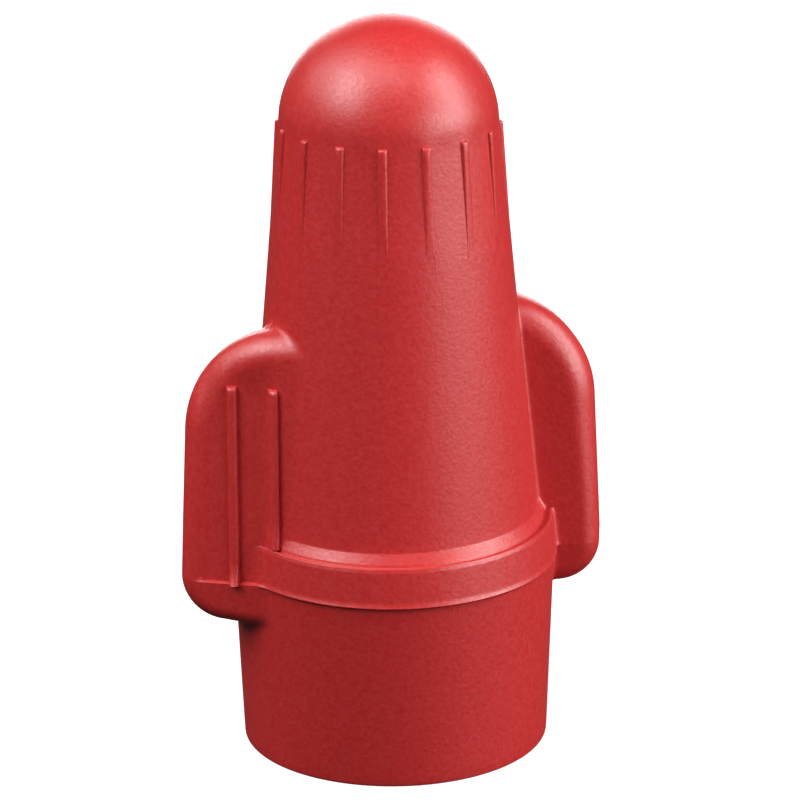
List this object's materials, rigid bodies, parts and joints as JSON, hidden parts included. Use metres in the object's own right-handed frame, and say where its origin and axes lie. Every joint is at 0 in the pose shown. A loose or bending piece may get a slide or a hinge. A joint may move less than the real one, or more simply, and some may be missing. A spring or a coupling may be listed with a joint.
{
  "type": "twist wire connector",
  "caption": "Winged twist-on wire connector: a tapered insulating cover with finger wings and a skirt, over a funnel-mouthed liner that holds a tapered square-wire grip spring.",
  "frame": {"origin": "centre of the skirt's rim plane, on the connector's axis", "axes": "+Z along the axis from the skirt to the dome; the wings reach along +X and -X; the ribbed grip face of the -X wing faces -Y"},
  "size_m": [0.0188, 0.015, 0.034],
  "materials": {
    "cover_red": "satin moulded, finely textured",
    "liner_red": "smooth hard moulding",
    "spring_steel": "zinc plated drawn wire"
  },
  "bodies": {
    "shell": {"outer_cover": "cover_red", "inner_shell": "liner_red"},
    "spring": {"grip_spring": "spring_steel"}
  },
  "joints": [
    {"name": "spring_unwind", "type": "hinge", "parent": "shell", "child": "spring", "pos_m": [0, 0, 0.0119], "axis": [0, 0, 1], "range_deg": [0, 35], "stiffness_Nm_per_rad": 0.004}
  ]
}
